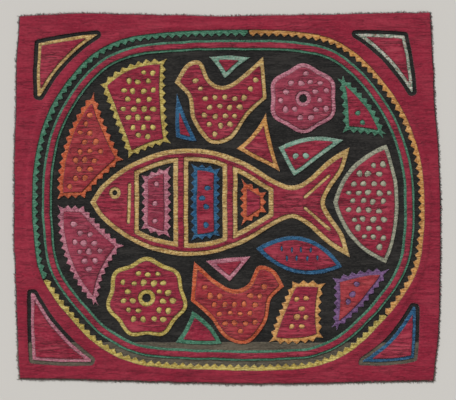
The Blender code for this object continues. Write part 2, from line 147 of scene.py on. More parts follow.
@dataclass
class EdgeFinder:
    """Measures how far points are from the nearest of several closed edges."""

    loops: list[Points]
    tree: KDTree = field(init=False)
    here: Points = field(init=False)
    before: Points = field(init=False)
    after: Points = field(init=False)

    def __post_init__(self) -> None:
        """Sorts the edges' points into a tree."""
        self.here = np.concatenate(self.loops)
        self.before = np.concatenate([np.roll(loop, 1, 0) for loop in self.loops])
        self.after = np.concatenate([np.roll(loop, -1, 0) for loop in self.loops])
        self.tree = tree_of(self.here)

    @staticmethod
    def to_stretch(points: Points, start: Points, end: Points) -> Points:
        """Measures each point's distance to its own straight stretch.

        Args:
            points: The points asked about.
            start: The stretches' starts.
            end: Their ends.

        Returns:
            One distance a point.
        """
        along = end - start
        share = np.sum((points - start) * along, 1) / np.maximum(np.sum(along * along, 1), TINY)
        nearest = start + along * np.clip(share, 0, 1)[:, None]
        return np.linalg.norm(points - nearest, axis=1)

    def distances(self, points: Points) -> Points:
        """Measures each point's distance to the nearest edge.

        Args:
            points: The points asked about.

        Returns:
            One distance a point.
        """
        near = np.array([self.tree.find((x, y, 0.0))[1] for x, y in points.tolist()], int)
        return np.minimum(
            self.to_stretch(points, self.before[near], self.here[near]),
            self.to_stretch(points, self.here[near], self.after[near]),
        )


@dataclass(frozen=True)
class LatticeNoise:
    """Smooth seeded noise from -1 to 1, with its own cell size each way."""

    seed: int
    across: float
    up: float
    cells: int = 128

    def at(self, points: Points) -> Points:
        """Reads the noise at points.

        Args:
            points: The points asked about.

        Returns:
            One value from -1 to 1 a point.
        """
        lattice = np.random.default_rng(self.seed).uniform(-1, 1, (self.cells, self.cells))
        place = points / (self.across, self.up)
        cell = np.floor(place).astype(int)
        part = place - cell
        part = part * part * (3 - 2 * part)
        left, low = cell[:, 0] % self.cells, cell[:, 1] % self.cells
        right, high = (left + 1) % self.cells, (low + 1) % self.cells
        share_x, share_y = part[:, 0], part[:, 1]
        lower = lattice[left, low] * (1 - share_x) + lattice[right, low] * share_x
        upper = lattice[left, high] * (1 - share_x) + lattice[right, high] * share_x
        return lower * (1 - share_y) + upper * share_y


@dataclass(frozen=True)
class PanelRelief:
    """The unevenness that all the cloths share, and the wrinkles that sewing drew into them."""

    swell: float = 0.16
    broad: LatticeNoise = LatticeNoise(31, 27.0, 27.0)
    local: LatticeNoise = LatticeNoise(37, 27.0 / 2, 27.0 / 2.6)
    local_share: float = 0.5
    bend: float = 3.0
    bending: LatticeNoise = LatticeNoise(41, 31.0, 31.0)
    coarse: LatticeNoise = LatticeNoise(43, 27.0, 6.4 / 2)
    coarse_share: float = 0.35
    fine: LatticeNoise = LatticeNoise(47, 27.0 * 0.6, 6.4 / 3)
    fine_share: float = 0.25
    drawn: LatticeNoise = LatticeNoise(61, 27.0 * 0.8, 6.4)
    drawn_start: float = 400.0
    drawn_share: float = 0.55
    drawn_change: float = 0.9
    resting: float = 0.45
    crease_width: float = 0.24
    crease_depth: float = 1.35
    wander: float = 0.42
    wandering: tuple[LatticeNoise, ...] = (LatticeNoise(53, 17.0, 17.0), LatticeNoise(59, 17.0, 17.0))

    def swells(self, points: Points) -> Points:
        """Returns how far each point is lifted with everything under it."""
        broad, local = self.broad.at(points), self.local.at(points)
        return self.swell * (1 + self.local_share + broad + self.local_share * local)

    def puckers(self, points: Points) -> Points:
        """Shapes the level wrinkles that sewing drew across the panel.

        Args:
            points: The points asked about.

        Returns:
            Each point's height, from -1 in a sharp crease to 1 on a crest.
        """
        bent = points.copy()
        bent[:, 1] += self.bend * self.bending.at(points)
        coarse, fine = self.coarse.at(bent), self.fine_share * self.fine.at(bent)
        drawn = self.drawn_change * self.drawn.at(points + self.drawn_start)
        depth = np.clip(self.drawn_share + drawn, 0, 1)
        sharp = depth * np.exp(-(((coarse + fine) / self.crease_width) ** 2))
        waves = self.coarse_share * coarse + fine
        return np.clip(self.resting + waves - self.crease_depth * sharp, -1, 1)

    def strayed(self, points: Points) -> Points:
        """Returns points moved a little, alike for all the cloths, as hand cutting strays."""
        return points + self.wander * np.stack([noise.at(points) for noise in self.wandering], 1)


RELIEF = PanelRelief()


# Closed edges of the solids' top faces, redrawn as hand-sewn hems.


def cad_edges(node: str) -> list[Points]:
    """Reads the closed edges of a solid's upper side.

    Args:
        node: The solid's name.

    Returns:
        Each edge's points as x, y and height, with the cloth on their left.
    """
    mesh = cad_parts[node].data
    mesh.calc_loop_triangles()
    corners = np.empty(len(mesh.vertices) * 3)
    mesh.vertices.foreach_get("co", corners)
    triangles = np.empty(len(mesh.loop_triangles) * 3, int)
    mesh.loop_triangles.foreach_get("vertices", triangles)
    places = np.round(corners.reshape(-1, 3) / MM / WELD).astype(int)
    places, welded = np.unique(places, axis=0, return_inverse=True)
    places = places * WELD
    triangles = welded.reshape(-1)[triangles.reshape(-1, 3)]
    first, second, third = (places[triangles[:, k]] for k in range(3))
    normals = unit(np.cross(second - first, third - first))
    upper = triangles[normals[:, 2] > UPWARD]
    ways = {(int(t[k]), int(t[k - 2])) for t in upper for k in range(3)}
    after = {start: end for start, end in ways if (end, start) not in ways}
    loops = []
    while after:
        start = min(after)
        chain = [start]
        step = after.pop(start)
        while step != start:
            chain.append(step)
            step = after.pop(step)
        loops.append(places[chain])
    return sorted(loops, key=lambda loop: -abs(area_of(loop)))


@dataclass
class Hem:
    """One closed edge of a cloth as it is sewn: points a third of a stitch apart."""

    points: Points
    level: float
    pulls: Points


@dataclass(frozen=True)
class HandHemming:
    """Turns a solid's exact edge into a needle-turned hem."""

    pitch: float = 2.9
    to_a_stitch: int = 3
    longest: float = 3.5
    corner_turn: float = math.radians(32)
    pinch: float = 0.32
    bulge: float = 0.12
    stray: float = 0.22
    stray_size: float = 8.0
    round_corners: int = 9
    pull_range: tuple[float, float] = (0.55, 1.25)
    mark_pull_range: tuple[float, float] = (0.5, 1.1)
    # How many bulges an uneven round hole has, and how deep they are.
    lobes: tuple[tuple[int, float], ...] = ((2, 0.09), (3, 0.07))
    latest_start: float = 6.3

    def split(self, loop: Points) -> tuple[Points, list[int]]:
        """Adds points on long straight stretches.

        Args:
            loop: The exact edge.

        Returns:
            The denser edge, and the indices of its sharp corners.
        """
        apart = np.linalg.norm(np.roll(loop, -1, 0) - loop, axis=1)
        loop = loop[apart > SAME_PLACE]
        steps = np.roll(loop, -1, 0) - loop
        heading = np.arctan2(steps[:, 1], steps[:, 0])
        turn = (heading - np.roll(heading, 1) + math.pi) % (2 * math.pi) - math.pi
        dense, corners = [], []
        for point, step, angle in zip(loop, steps, turn):
            if abs(angle) > self.corner_turn:
                corners.append(len(dense))
            parts = max(1, math.ceil(float(np.linalg.norm(step)) / self.longest))
            dense.extend(point + step * k / parts for k in range(parts))
        return np.array(dense), corners

    def smooth(self, points: Points, count: int, closed: bool) -> Points:
        """Draws a smooth curve through points.

        Args:
            points: The points to pass through.
            count: How many points to return.
            closed: Whether the curve returns to its start.

        Returns:
            The curve's points, without the last when it is open.
        """
        if closed:
            points = np.concatenate([points[-2:], points, points[:3]])
        steps = np.diff(points, axis=0)
        spans = np.maximum(np.linalg.norm(steps, axis=1), 1e-6)
        place = np.concatenate([[0], np.cumsum(spans)])
        slopes = steps / spans[:, None]
        tangents = np.empty_like(points)
        tangents[0], tangents[-1] = slopes[0], slopes[-1]
        before, after = spans[:-1, None], spans[1:, None]
        tangents[1:-1] = (slopes[:-1] * after + slopes[1:] * before) / (before + after)
        first, last = (place[2], place[-3]) if closed else (0, place[-1])
        wanted = np.linspace(first, last, count, endpoint=False)
        cell = np.clip(np.searchsorted(place, wanted, side="right") - 1, 0, len(spans) - 1)
        span = spans[cell][:, None]
        share = ((wanted - place[cell])[:, None]) / span
        square, cube = share**2, share**3
        return (
            (2 * cube - 3 * square + 1) * points[cell]
            + (cube - 2 * square + share) * span * tangents[cell]
            + (3 * square - 2 * cube) * points[cell + 1]
            + (cube - square) * span * tangents[cell + 1]
        )

    def traced(self, loop: Points) -> Points:
        """Redraws an edge at even stitch thirds, with a stitch on every corner.

        Args:
            loop: The exact edge.

        Returns:
            The new edge.
        """
        dense, corners = self.split(loop)
        if not corners:
            stitches = max(3, round(length_of(dense) / self.pitch))
            return self.smooth(dense, stitches * self.to_a_stitch, closed=True)
        dense = np.roll(dense, -corners[0], 0)
        corners = [corner - corners[0] for corner in corners] + [len(dense)]
        dense = np.concatenate([dense, dense[:1]])
        stretches = []
        for start, end in zip(corners, corners[1:]):
            part = dense[start : end + 1]
            length = float(np.sum(np.linalg.norm(np.diff(part, axis=0), axis=1)))
            stitches = max(1, round(length / self.pitch))
            stretches.append(self.smooth(part, stitches * self.to_a_stitch, closed=False))
        return np.concatenate(stretches)

    def hem(
        self, loop: Points, level: float, seed: int, sewn: bool = True, rounding: int = 1
    ) -> Hem:
        """Makes one hem.

        Args:
            loop: The exact edge, with the cloth on its left.
            level: The height of the cloth's upper side there.
            seed: Sets how this hem strays.
            sewn: Whether stitches hold it.
            rounding: How many times its corners are softened.

        Returns:
            The hem.
        """
        points = self.traced(loop)
        for _ in range(rounding):
            points = points / 2 + (np.roll(points, 1, 0) + np.roll(points, -1, 0)) / 4
        points = RELIEF.strayed(points)
        size = self.stray_size
        stray = self.stray * LatticeNoise(seed, size, size).at(points)
        random = np.random.default_rng(seed)
        held = np.arange(len(points)) % self.to_a_stitch == 0
        pulls = np.where(held & sewn, random.uniform(*self.pull_range, len(points)), 0.0)
        moved = stray + (self.pinch * pulls - self.bulge if sewn else 0)
        return Hem(points + inward(points) * moved[:, None], level, pulls)

    def round_mark(self, centre: Points, sizes: tuple[float, float], seed: int) -> Hem:
        """Makes the hem of a small hole.

        Args:
            centre: The hole's centre.
            sizes: Its half width and half height.
            seed: Sets how uneven it is.

        Returns:
            The hem, clockwise, so that the cloth is on its left.
        """
        random = np.random.default_rng(seed)
        around = math.pi * (sizes[0] + sizes[1])
        stitches = max(5, round(around / self.pitch))
        count = stitches * self.to_a_stitch
        angles = -np.arange(count) / count * 2 * math.pi
        uneven = np.ones(count)
        for number, depth in self.lobes:
            uneven += depth * np.sin(number * angles + random.uniform(0, self.latest_start))
        points = np.stack([np.cos(angles) * sizes[0], np.sin(angles) * sizes[1]], 1)
        held = np.arange(count) % self.to_a_stitch == 0
        pulls = np.where(held, random.uniform(*self.mark_pull_range, count), 0.0)
        points = centre + points * uneven[:, None]
        points = points + inward(points) * (pulls * self.pinch)[:, None] / 2
        return Hem(points, Layer.TOP.value, pulls)


HEMMING = HandHemming()


# Finishes.


def linear(colour: str) -> tuple[float, float, float, float]:
    """Turns an sRGB colour to linear light.

    Args:
        colour: The colour's hex value.

    Returns:
        Its red, green, blue and alpha.
    """
    parts = [int(colour[k : k + 2], 16) / 255 for k in (1, 3, 5)]
    red, green, blue = (c / 12.92 if c <= 0.04045 else ((c + 0.055) / 1.055) ** 2.4 for c in parts)
    return red, green, blue, 1.0


def add_node(tree: Tree, kind: str, settings: dict | None = None, links: dict | None = None) -> Node:
    """Adds a node with its settings and links.

    Args:
        tree: The tree to add to.
        kind: Blender's name for the node, after the words ShaderNode.
        settings: Values by the name of a property, or the name or number of an input.
        links: Sockets to link, by the name or number of the input that each goes to.

    Returns:
        The node.
    """
    node = tree.nodes.new(f"ShaderNode{kind}")
    for name, value in (settings or {}).items():
        if isinstance(name, str) and hasattr(node, name):
            setattr(node, name, value)
        else:
            node.inputs[name].default_value = value
    for name, socket in (links or {}).items():
        tree.links.new(socket, node.inputs[name])
    return node


def empty_material(name: str) -> tuple[bpy.types.Material, Tree, Socket]:
    """Starts a material that has no nodes yet but the places on the object.

    Args:
        name: The material's name.

    Returns:
        The material, its tree, and the socket of the places.
    """
    material = bpy.data.materials.new(name)
    material.use_nodes = True
    tree = material.node_tree
    tree.nodes.clear()
    return material, tree, add_node(tree, "TexCoord").outputs["Object"]


@dataclass(frozen=True)
class WovenCotton:
    """Plain-woven cotton, piece dyed: dull, faintly downy and uneven in its dye, with painted shade in
    its creases and hem folds and painted highlight on its crests.
    """

    name: str
    # The deep tone is dye and also painted shade in creases; the faded tone is dye and also painted
    # highlight on crests.
    deep_and_shaded: str
    dyed: str
    faded_and_lit: str
    fleck: str = "#000000"
    fleck_share: float = 0.0
    blotch: float = 2.6
    slub: float = 1.2
    mottle: float = 1.0
    # Scales the painted shade and highlight of the creases and crests, and the creases' bumps.
    crease: float = 1.0
    roughness: float = 0.9
    down: float = 0.08
    # The colour of the painted shade in hem folds and beside the seams of the cloth over it.
    fold_shade: str = "#3f3838"
    # Real thread spacing is near 0.35 mm, too fine for a view that takes in the whole
    # panel, so the weave is drawn at three times that.
    thread: float = 1.05

    def patterns(self, tree: Tree, place: Socket) -> dict[str, Socket]:
        """Adds the patterns of the dye, the threads and the creases.

        Args:
            tree: The tree to add to.
            place: Places on the cloth, in millimetres.

        Returns:
            The patterns' sockets, by their names.
        """
        even = (1.0, 1.0, 1.0)
        # Each noise: the size of its features in millimetres, its detail, and its scale each way.
        noises = {
            "fade": (46.0, 2.0, even),
            "blotches": (self.blotch, 2.0, even),
            "flecks": (self.blotch * 0.55, 1.0, even),
            "slubs": (self.slub, 1.0, (0.30, 1.0, 1.0)),
            "creases": (2.3, 3.0, (0.10, 1.0, 1.0)),
            "wavering": (4.2, 2.0, (0.11, 1.0, 1.0)),
            "patchy": (13.0, 1.0, (0.35, 1.0, 1.0)),
        }
        made = {}
        for name, (size, detail, stretch) in noises.items():
            mapped = add_node(tree, "Mapping", {"Scale": stretch}, {"Vector": place}).outputs[0]
            settings = {"Scale": 1 / size, "Detail": detail, "Roughness": 0.6}
            made[name] = add_node(tree, "TexNoise", settings, {"Vector": mapped}).outputs[0]
        # The sheets carry these two: how deep in a hem's fold a point lies, which sets its painted shade,
        # and how high on a pucker, which sets painted highlight on crests and painted shade in valleys.
        for name in ("hem", "crest"):
            made[name] = add_node(tree, "Attribute", {"attribute_name": name}).outputs["Fac"]
        # Thin creases run where one noise crosses its middle, broken up by another; they are sunk in the
        # bumps and darkened with painted shade in the colour.
        middle = add_node(tree, "Math", {"operation": "SUBTRACT", 1: 0.5}, {0: made["wavering"]})
        apart = add_node(tree, "Math", {"operation": "ABSOLUTE"}, {0: middle.outputs[0]}).outputs[0]
        shares = {}
        ranges = ((apart, 0.030, 0.0), (made["patchy"], 0.40, 0.52))
        for number, (value, start, full) in enumerate(ranges):
            settings = {"From Min": start, "From Max": full}
            shares[number] = add_node(tree, "MapRange", settings, {"Value": value}).outputs[0]
        made["lines"] = add_node(tree, "Math", {"operation": "MULTIPLY"}, shares).outputs[0]
        # A wave texture of scale 1 has 20 waves in 2 pi units.
        waves = {}
        for number, direction in enumerate("XY"):
            settings = {
                "bands_direction": direction,
                "Scale": 2 * math.pi / (20 * self.thread),
                "Distortion": 1.2,
                "Detail": 1.0,
                "Detail Scale": 0.6,
            }
            waves[number] = add_node(tree, "TexWave", settings, {"Vector": place}).outputs["Fac"]
        made["weave"] = add_node(tree, "Math", {"operation": "MULTIPLY"}, waves).outputs[0]
        return made

    def material(self) -> bpy.types.Material:
        """Builds the cloth's material: layers of dye, painted shade and painted highlight in its colour,
        and layers of relief.

        Returns:
            The material.
        """
        material, tree, place = empty_material(self.name)
        scaled = add_node(tree, "VectorMath", {"operation": "SCALE", "Scale": 1 / MM}, {0: place})
        patterns = self.patterns(tree, scaled.outputs[0])
        # Each layer of colour: its pattern, where that starts and is full, its share, and its colour.
        # Fade, blotches, slubs and flecks are dye; creases, lines and hem are painted shade; crest is
        # painted highlight on crests and painted shade in valleys.
        dyes = (
            ("fade", 0.42, 0.62, 0.30, self.faded_and_lit),
            ("blotches", 0.48, 0.62, 0.85 * self.mottle, self.deep_and_shaded),
            ("slubs", 0.50, 0.64, 0.80 * self.mottle, self.faded_and_lit),
            ("flecks", 0.56, 0.66, self.fleck_share, self.fleck),
            # From here on the layers are painted shade and painted highlight, not dye.
            ("creases", 0.52, 0.40, 0.50 * self.crease, self.deep_and_shaded),
            ("crest", 0.30, 0.85, 0.60 * self.crease, self.faded_and_lit),
            ("crest", 0.05, -0.75, 0.85 * self.crease, self.deep_and_shaded),
            ("lines", 0.0, 1.0, 0.60 * self.crease, self.deep_and_shaded),
            ("hem", 0.15, 1.0, 0.72, self.fold_shade),
        )
        colour = add_node(tree, "RGB").outputs[0]
        colour.default_value = linear(self.dyed)
        for name, start, full, share, dye in dyes:
            settings = {"From Min": start, "From Max": full, "To Max": share}
            amount = add_node(tree, "MapRange", settings, {"Value": patterns[name]}).outputs[0]
            settings = {"data_type": "RGBA", 7: linear(dye)}
            colour = add_node(tree, "Mix", settings, {0: amount, 6: colour}).outputs[2]
        # Each layer of relief: its pattern, strength, height in millimetres, and whether it is sunk.
        reliefs = (
            ("weave", 0.30, 0.12, False),
            ("creases", self.crease, 0.7, False),
            ("lines", self.crease, 0.8, True),
            ("slubs", 0.45, 0.30, False),
        )
        under = {}
        for name, strength, height, sunk in reliefs:
            settings = {"Strength": strength, "Distance": height * MM, "invert": sunk}
            bump = add_node(tree, "Bump", settings, {"Height": patterns[name], **under})
            under = {"Normal": bump.outputs[0]}
        settings = {
            "Roughness": self.roughness,
            "IOR": 1.5,
            "Specular IOR Level": 0.25,
            "Sheen Weight": self.down,
            "Sheen Roughness": 0.5,
        }
        shader = add_node(tree, "BsdfPrincipled", settings, {"Base Color": colour, **under})
        add_node(tree, "OutputMaterial", None, {"Surface": shader.outputs[0]})
        return material


@dataclass(frozen=True)
class SewingThread:
    """Twisted cotton sewing thread, dyed near its cloth, with a little more shine than the weave."""

    name: str
    light: str
    dark: str
    roughness: float = 0.62
    # A stitch is about 2 mm long, so patches of this size give neighbours different tones.
    patch: float = 3.0

    def material(self) -> bpy.types.Material:
        """Builds the thread's material: patches of a lighter and a darker tone.

        Returns:
            The material.
        """
        material, tree, place = empty_material(self.name)
        settings = {"Scale": 1 / (self.patch * MM), "Detail": 1.0}
        noise = add_node(tree, "TexNoise", settings, {"Vector": place}).outputs[0]
        settings = {"From Min": 0.4, "From Max": 0.6}
        share = add_node(tree, "MapRange", settings, {"Value": noise}).outputs[0]
        settings = {"data_type": "RGBA", 6: linear(self.dark), 7: linear(self.light)}
        colour = add_node(tree, "Mix", settings, {0: share}).outputs[2]
        settings = {"Roughness": self.roughness, "IOR": 1.5, "Sheen Weight": 0.15}
        shader = add_node(tree, "BsdfPrincipled", settings, {"Base Color": colour})
        add_node(tree, "OutputMaterial", None, {"Surface": shader.outputs[0]})
        return material


@dataclass(frozen=True)
class MattTable:
    """Pale table top, painted matt: it takes the light evenly and hardly mirrors anything."""

    name: str = "matt_pale_table"
    colour: str = "#ccc9c4"
    roughness: float = 0.9
    shine: float = 0.1

    def material(self) -> bpy.types.Material:
        """Builds the table's material.

        Returns:
            The material.
        """
        material, tree, _ = empty_material(self.name)
        settings = {
            "Base Color": linear(self.colour),
            "Roughness": self.roughness,
            "IOR": 1.5,
            "Specular IOR Level": self.shine,
        }
        shader = add_node(tree, "BsdfPrincipled", settings)
        add_node(tree, "OutputMaterial", None, {"Surface": shader.outputs[0]})
        return material


def cottons(kind: str, tones: dict[str, tuple], **settings: float) -> dict[str, WovenCotton]:
    """Makes cottons of one kind from their tones by colour, and returns them by colour."""
    return {name: WovenCotton(f"{name}_{kind}_cotton", *row, **settings) for name, row in tones.items()}


# Each cotton's deep, dyed and faded tones, then the colour and share of any flecks. The deep tone also
# serves as painted shade, and the faded tone as painted highlight.
REDS = {
    "red": ("#540c1d", "#8c1f36", "#b34857"),
    "rose": ("#5f1c2e", "#8e2f44", "#b05464"),
    "scarlet": ("#62151f", "#942a34", "#b75254"),
}
BORDER_RED = {"border": ("#5c1023", "#891b32", "#a43a4a")}
BLACKS = {"black": ("#0d0c0c", "#1a1918", "#393633")}
SMOOTH_DYES = {
    "olive": ("#474137", "#585145", "#6c6455"),
    "green": ("#21503c", "#3d7157", "#669880"),
}
DYES = {
    "orange": ("#84301d", "#bb5230", "#d5805a"),
    "amber": ("#854f26", "#c28a46", "#deb277"),
    "purple": ("#452d50", "#6b4975", "#8d6c95"),
    "blue": ("#13314b", "#1d4e74", "#447698"),
}
PRINTS = {
    "mint": ("#41705c", "#739a86", "#a2beae", "#a39086", 0.7),
    "gold": ("#7e5c34", "#bb9857", "#dcc48c", "#98694a", 0.5),
    "yellow": ("#786029", "#b59e48", "#d8c87e", "#7f7446", 0.5),
    "pink": ("#7c3f50", "#b3697a", "#d09aa4", "#8f4656", 0.7),
    "sage": ("#5f6256", "#94937f", "#bab79f", "#5f7262", 0.7),
}
LARGE_PRINTS = {"print": ("#3f6b54", "#aaa598", "#d6d2c6", "#7d4a3e", 1.0)}
COTTONS = (
    cottons("plain_woven", REDS, mottle=0.46)
    | cottons("plain_woven", BORDER_RED, mottle=0.38, crease=0.66)
    | cottons("plain_woven", BLACKS, mottle=0.65, crease=0.8)
    | cottons("plain_woven", SMOOTH_DYES, crease=0.7)
    | cottons("plain_woven", DYES, crease=0.8)
    | cottons("printed", PRINTS, crease=0.8)
    | cottons("printed", LARGE_PRINTS, blotch=3.4, crease=0.8)
)

# Each thread's light and dark tones.
TWISTS = {
    "red": ("#a84858", "#6a1a2a"),
    "black": ("#2e2b29", "#151413"),
    "olive": ("#5c5646", "#332f27"),
    "green": ("#74a68c", "#285a45"),
    "mint": ("#b2cdbd", "#507662"),
    "gold": ("#dcc898", "#8a6a40"),
    "yellow": ("#dccb84", "#836c32"),
    "orange": ("#e0885e", "#8e3821"),
    "amber": ("#e4b27c", "#8f562c"),
    "pink": ("#dba6b0", "#864a5a"),
    "purple": ("#9a80b0", "#49345a"),
    "blue": ("#5c8db2", "#1a3a56"),
    "sage": ("#c6c4ac", "#6a6b5e"),
}
THREADS = {name: SewingThread(f"{name}_sewing_thread", *tones) for name, tones in TWISTS.items()}
Finish = WovenCotton | SewingThread | MattTable


@cache
def material_of(finish: Finish) -> bpy.types.Material:
    """Returns a finish's material, built once."""
    return finish.material()


# Meshes.


def placed(name: str, data: bpy.types.ID) -> bpy.types.Object:
    """Puts a mesh, a lamp or a camera in the scene.

    Args:
        name: The object's name.
        data: The mesh, lamp or camera.

    Returns:
        The object.
    """
    thing = bpy.data.objects.new(name, data)
    bpy.context.scene.collection.objects.link(thing)
    return thing


def new_object(
    name: str, points: Points, faces: Faces, finish: Finish
) -> bpy.types.Object:
    """Makes a smooth-shaded piece of the panel.

    Args:
        name: The piece's name.
        points: Its points in millimetres.
        faces: Its faces as indices of the points.
        finish: What it is made of.

    Returns:
        The piece, riding with the panel.
    """
    mesh = bpy.data.meshes.new(name)
    mesh.from_pydata((points * MM).tolist(), [], faces)
    mesh.polygons.foreach_set("use_smooth", np.ones(len(mesh.polygons), bool))
    mesh.materials.append(material_of(finish))
    piece = placed(name, mesh)
    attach(piece, "root")
    return piece


def tubes(paths: Points, radii: Points, sides: int) -> tuple[Points, Faces]:
    """Makes closed round-sectioned threads, all in one mesh.

    Args:
        paths: The threads' centre points, as thread, point and coordinate.
        radii: The radius at each point of a thread.
        sides: How many sides a thread has.

    Returns:
        The points and the faces.
    """
    count, steps, _ = paths.shape
    tangents = unit(np.gradient(paths, axis=1))
    # The small addition gives an upright thread a side too.
    across = unit(np.cross(tangents, (0.0, 0.0, 1.0)) + (1e-6, 0.5e-6, 0.0))
    over = np.cross(across, tangents)
    angles = np.arange(sides) / sides * 2 * math.pi
    ring = np.cos(angles)[:, None] * across[:, :, None] + np.sin(angles)[:, None] * over[:, :, None]
    points = paths[:, :, None] + ring * np.reshape(radii, (1, -1, 1, 1))
    here = np.arange(count * steps * sides).reshape(count, steps, sides)
    beside = np.roll(here, -1, 2)
    walls = np.stack([here[:, :-1], beside[:, :-1], beside[:, 1:], here[:, 1:]], -1).reshape(-1, 4)
    ends = np.concatenate([here[:, 0, ::-1], here[:, -1]])
    return points.reshape(-1, 3), [tuple(face) for face in walls.tolist() + ends.tolist()]


@dataclass(frozen=True)
class HemProfile:
    """How a needle-turned hem rises from the cloth under it and dips where a stitch holds it, and how
    much painted shade its fold takes.
    """

    roll: float = 0.75
    dimple: float = 0.50
    dimple_reach: float = 0.85
    shade_reach: float = 0.55
    shade_share: float = 0.55

    def crown(self, distance: Points, pull: Points) -> Points:
        """Shapes the upper side of a cloth beside its hem.

        Args:
            distance: How far each point is from the hem.
            pull: How hard a stitch pulls there.

        Returns:
            Each point's height over the cloth's middle.
        """
        part = np.clip(distance / self.roll, 0, 1)
        rise = 0.5 * CLOTH * np.sqrt(1 - (1 - part) ** 2)
        return rise - self.dimple * pull * np.exp(-((distance / self.dimple_reach) ** 2)) * part**0.5

    def shade(self, distance: Points, pull: Points) -> Points:
        """Returns how much painted shade a point takes in the hem's fold, from 0 to 1, most beside a
        stitch.
        """
        return np.exp(-distance / self.shade_reach) * np.clip(self.shade_share * (1 + pull), 0, 1)


PROFILE = HemProfile()


@dataclass
class ClothSheet:
    """One cloth of the panel: a closed thin sheet with rolled hems, wrinkles and sewn-down edges."""

    node: str
    cloth: str
    layer: Layer
    rests_on: tuple[str, ...]
    seed: int
    spacing: float = 1.7
    pucker: float = 0.30
    # How strongly the puckers show in the painted highlight and shade that the crest attribute carries.
    drawn: float = 1.0
    pillow: float = 0.30
    pillow_reach: float = 3.0
    calm_reach: float = 1.6
    hems: list[Hem] = field(default_factory=list)
    marks: list[Hem] = field(default_factory=list)
    bulges: list[Hem] = field(default_factory=list)
    bulge_margin: float = 0.30
    least_bulge: float = 0.5
    bulge_height: float = 1.08
    bulge_roundness: float = 0.38
    # How much painted highlight the swellings under the holes take, through the crest attribute.
    painted_bulge_highlight: float = 0.7
    bulge_rings: tuple[tuple[float, int], ...] = ((0.0, 1), (0.45, 6), (0.8, 10), (1.05, 12))
    seams: list[Hem] = field(default_factory=list)
    seam_depth: float = 0.38
    seam_reach: float = 0.95
    seam_offset: float = 0.5
    seam_shade: float = 0.75
    most_pressed: float = 0.6
    window: int | None = None
    climb_start: float = 9.0
    climb_end: float = 4.7
    woven: str = ""
    rings: tuple[float, ...] = (0.36, 0.95)
    ring_clearance: float = 0.86
    ring_cell: float = 0.34
    clearance_share: float = 0.42
    quick_spacing: float = 1.8
    under_spacing: float = 6.0
    under_clearance: float = 0.6
    # Rows lie closer than the points along them, since the wrinkles run along the rows.
    row_share: float = 0.52
    along_share: float = 1.3
    scatter: float = 0.2
    seed_step: int = 17

    @property
    def piece_name(self) -> str:
        """The name of the sheet's piece."""
        return f"sheet_{self.node}"

    def read_edges(self, sewn: tuple[int, ...] | None = None, rounded: tuple[int, ...] = ()) -> None:
        """Draws the hems from the solid's edges.

        Args:
            sewn: The numbers of the sewn hems, largest first, or None for all of them.
            rounded: The numbers of the hems whose corners are sewn round.
        """
        for number, loop in enumerate(cad_edges(self.node)):
            level = float(np.mean(loop[:, 2]))
            held = sewn is None or number in sewn
            rounding = HEMMING.round_corners if number in rounded else 1
            seed = self.seed * self.seed_step + number
            self.hems.append(HEMMING.hem(loop[:, :2], level, seed, held, rounding))

    @cached_property
    def edges(self) -> list[Hem]:
        """Every closed edge, the small holes with them."""
        return self.hems + self.marks

    @cached_property
    def loops(self) -> list[Points]:
        """Every closed edge's points."""
        return [hem.points for hem in self.edges]

    @cached_property
    def finder(self) -> EdgeFinder:
        """Measures how far points are from the closed edges."""
        return EdgeFinder(self.loops)

    def level_at(self, points: Points) -> Points:
        """Works out the upper side's nominal height: the border climbs on to the rims' edges.

        Args:
            points: The points asked about.

        Returns:
            One height a point.
        """
        if self.window is None:
            return np.full(len(points), self.layer.value)
        far = EdgeFinder([self.hems[self.window].points]).distances(points)
        share = np.clip((self.climb_start - far) / (self.climb_start - self.climb_end), 0, 1)
        return Layer.COLOUR.value + (CLOTH + SEWN_GAP) * share * share * (3 - 2 * share)

    def ring_points(self) -> tuple[Points, Points]:
        """Sets rows of points just inside the hems.

        Returns:
            The points, and how hard a stitch pulls at each.
        """
        points, pulls = [], []
        for offset in self.rings:
            for hem in self.edges:
                moved = hem.points + inward(hem.points) * offset
                clear = self.finder.distances(moved) > self.ring_clearance * offset
                points.append(moved[clear])
                pulls.append(hem.pulls[clear])
        points, pulls = np.concatenate(points), np.concatenate(pulls)
        cells = np.round(points / self.ring_cell).astype(int)
        _, kept = np.unique(cells, axis=0, return_index=True)
        kept = kept[inside(points[kept], self.loops)]
        return points[kept], pulls[kept]

    def field_points(self, spacing: float, clearance: float) -> Points:
        """Sets staggered, slightly uneven rows of points over the cloth.

        Args:
            spacing: The distance between them.
            clearance: The least distance to an edge.

        Returns:
            The points.
        """
        outline = self.loops[0]
        low, high = outline.min(0), outline.max(0)
        apart, step = spacing * self.row_share, spacing * self.along_share
        rows = []
        for number, row in enumerate(np.arange(low[1], high[1], apart)):
            across = np.arange(low[0] + (number % 2) * step / 2, high[0], step)
            rows.append(np.stack([across, np.full(len(across), row)], 1))
        points = np.concatenate(rows)
        random = np.random.default_rng(self.seed)
        points = points + random.uniform(-self.scatter, self.scatter, points.shape) * (step, apart)
        points = points[inside(points, self.loops)]
        return points[self.finder.distances(points) > clearance]

    def triangulated(self, extra: Points) -> tuple[Points, Points]:
        """Joins the edges and more points with triangles.

        Args:
            extra: Points inside the cloth.

        Returns:
            All the points, the edges' first, and the triangles inside the cloth.
        """
        links, start = [], 0
        for loop in self.loops:
            stop = start + len(loop)
            links += [(k, k + 1) for k in range(start, stop - 1)] + [(stop - 1, start)]
            start = stop
        vectors = [Vector(point) for point in np.concatenate([*self.loops, extra]).tolist()]
        found, _, triangles, *_ = delaunay_2d_cdt(vectors, links, [], 0, 1e-6)
        points = np.array([tuple(point) for point in found])
        triangles = np.array(triangles, int)
        return points, triangles[inside(points[triangles].mean(axis=1), self.loops)]

